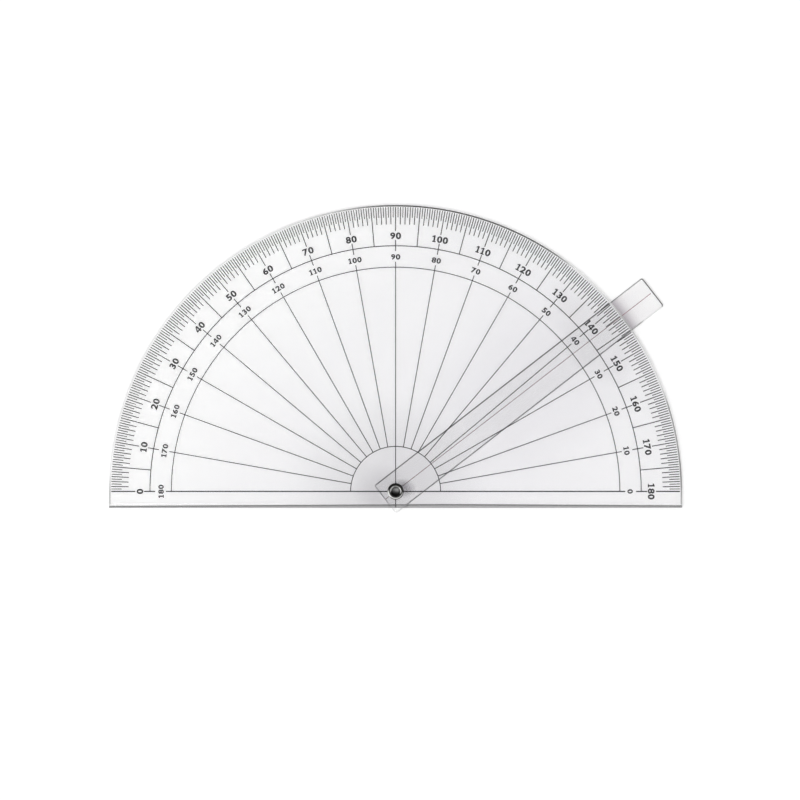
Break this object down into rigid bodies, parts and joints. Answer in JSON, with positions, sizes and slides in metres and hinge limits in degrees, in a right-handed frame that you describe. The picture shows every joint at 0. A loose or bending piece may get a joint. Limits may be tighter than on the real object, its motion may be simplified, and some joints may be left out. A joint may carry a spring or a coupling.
{
  "type": "axis protractor",
  "caption": "Clear half-disc drawing protractor with inner and outer degree scales, a bevelled straight edge and a clear index arm that turns on a rivet.",
  "frame": {"origin": "pivot axis, at the flat face of the rivet's head on the paper side", "axes": "+X along the zero line towards the right end of the plate, +Y towards the ninety-degree mark, +Z from the paper side to the reading side"},
  "size_m": [0.201, 0.108, 0.0041],
  "materials": {
    "clear_plate": "clear cast acrylic sheet, polished faces, milled edges",
    "clear_arm": "clear acrylic sheet, polished faces, sawn edges",
    "rivet_metal": "bright plated steel, rolled end",
    "washer_nylon": "natural nylon",
    "black_ink": "printed black ink",
    "red_ink": "printed dark red ink"
  },
  "bodies": {
    "plate": {"plate": "clear_plate", "outer_scale": "black_ink", "inner_scale": "black_ink", "vertex_tick": "black_ink", "rivet": "rivet_metal", "spacer_washer": "washer_nylon"},
    "arm": {"arm": "clear_arm", "index_line": "red_ink", "index_tail": "red_ink"}
  },
  "joints": [
    {"name": "arm_swing", "type": "hinge", "parent": "plate", "child": "arm", "pos_m": [0, 0, 0.00115], "axis": [0, 0, 1], "continuous": true}
  ]
}
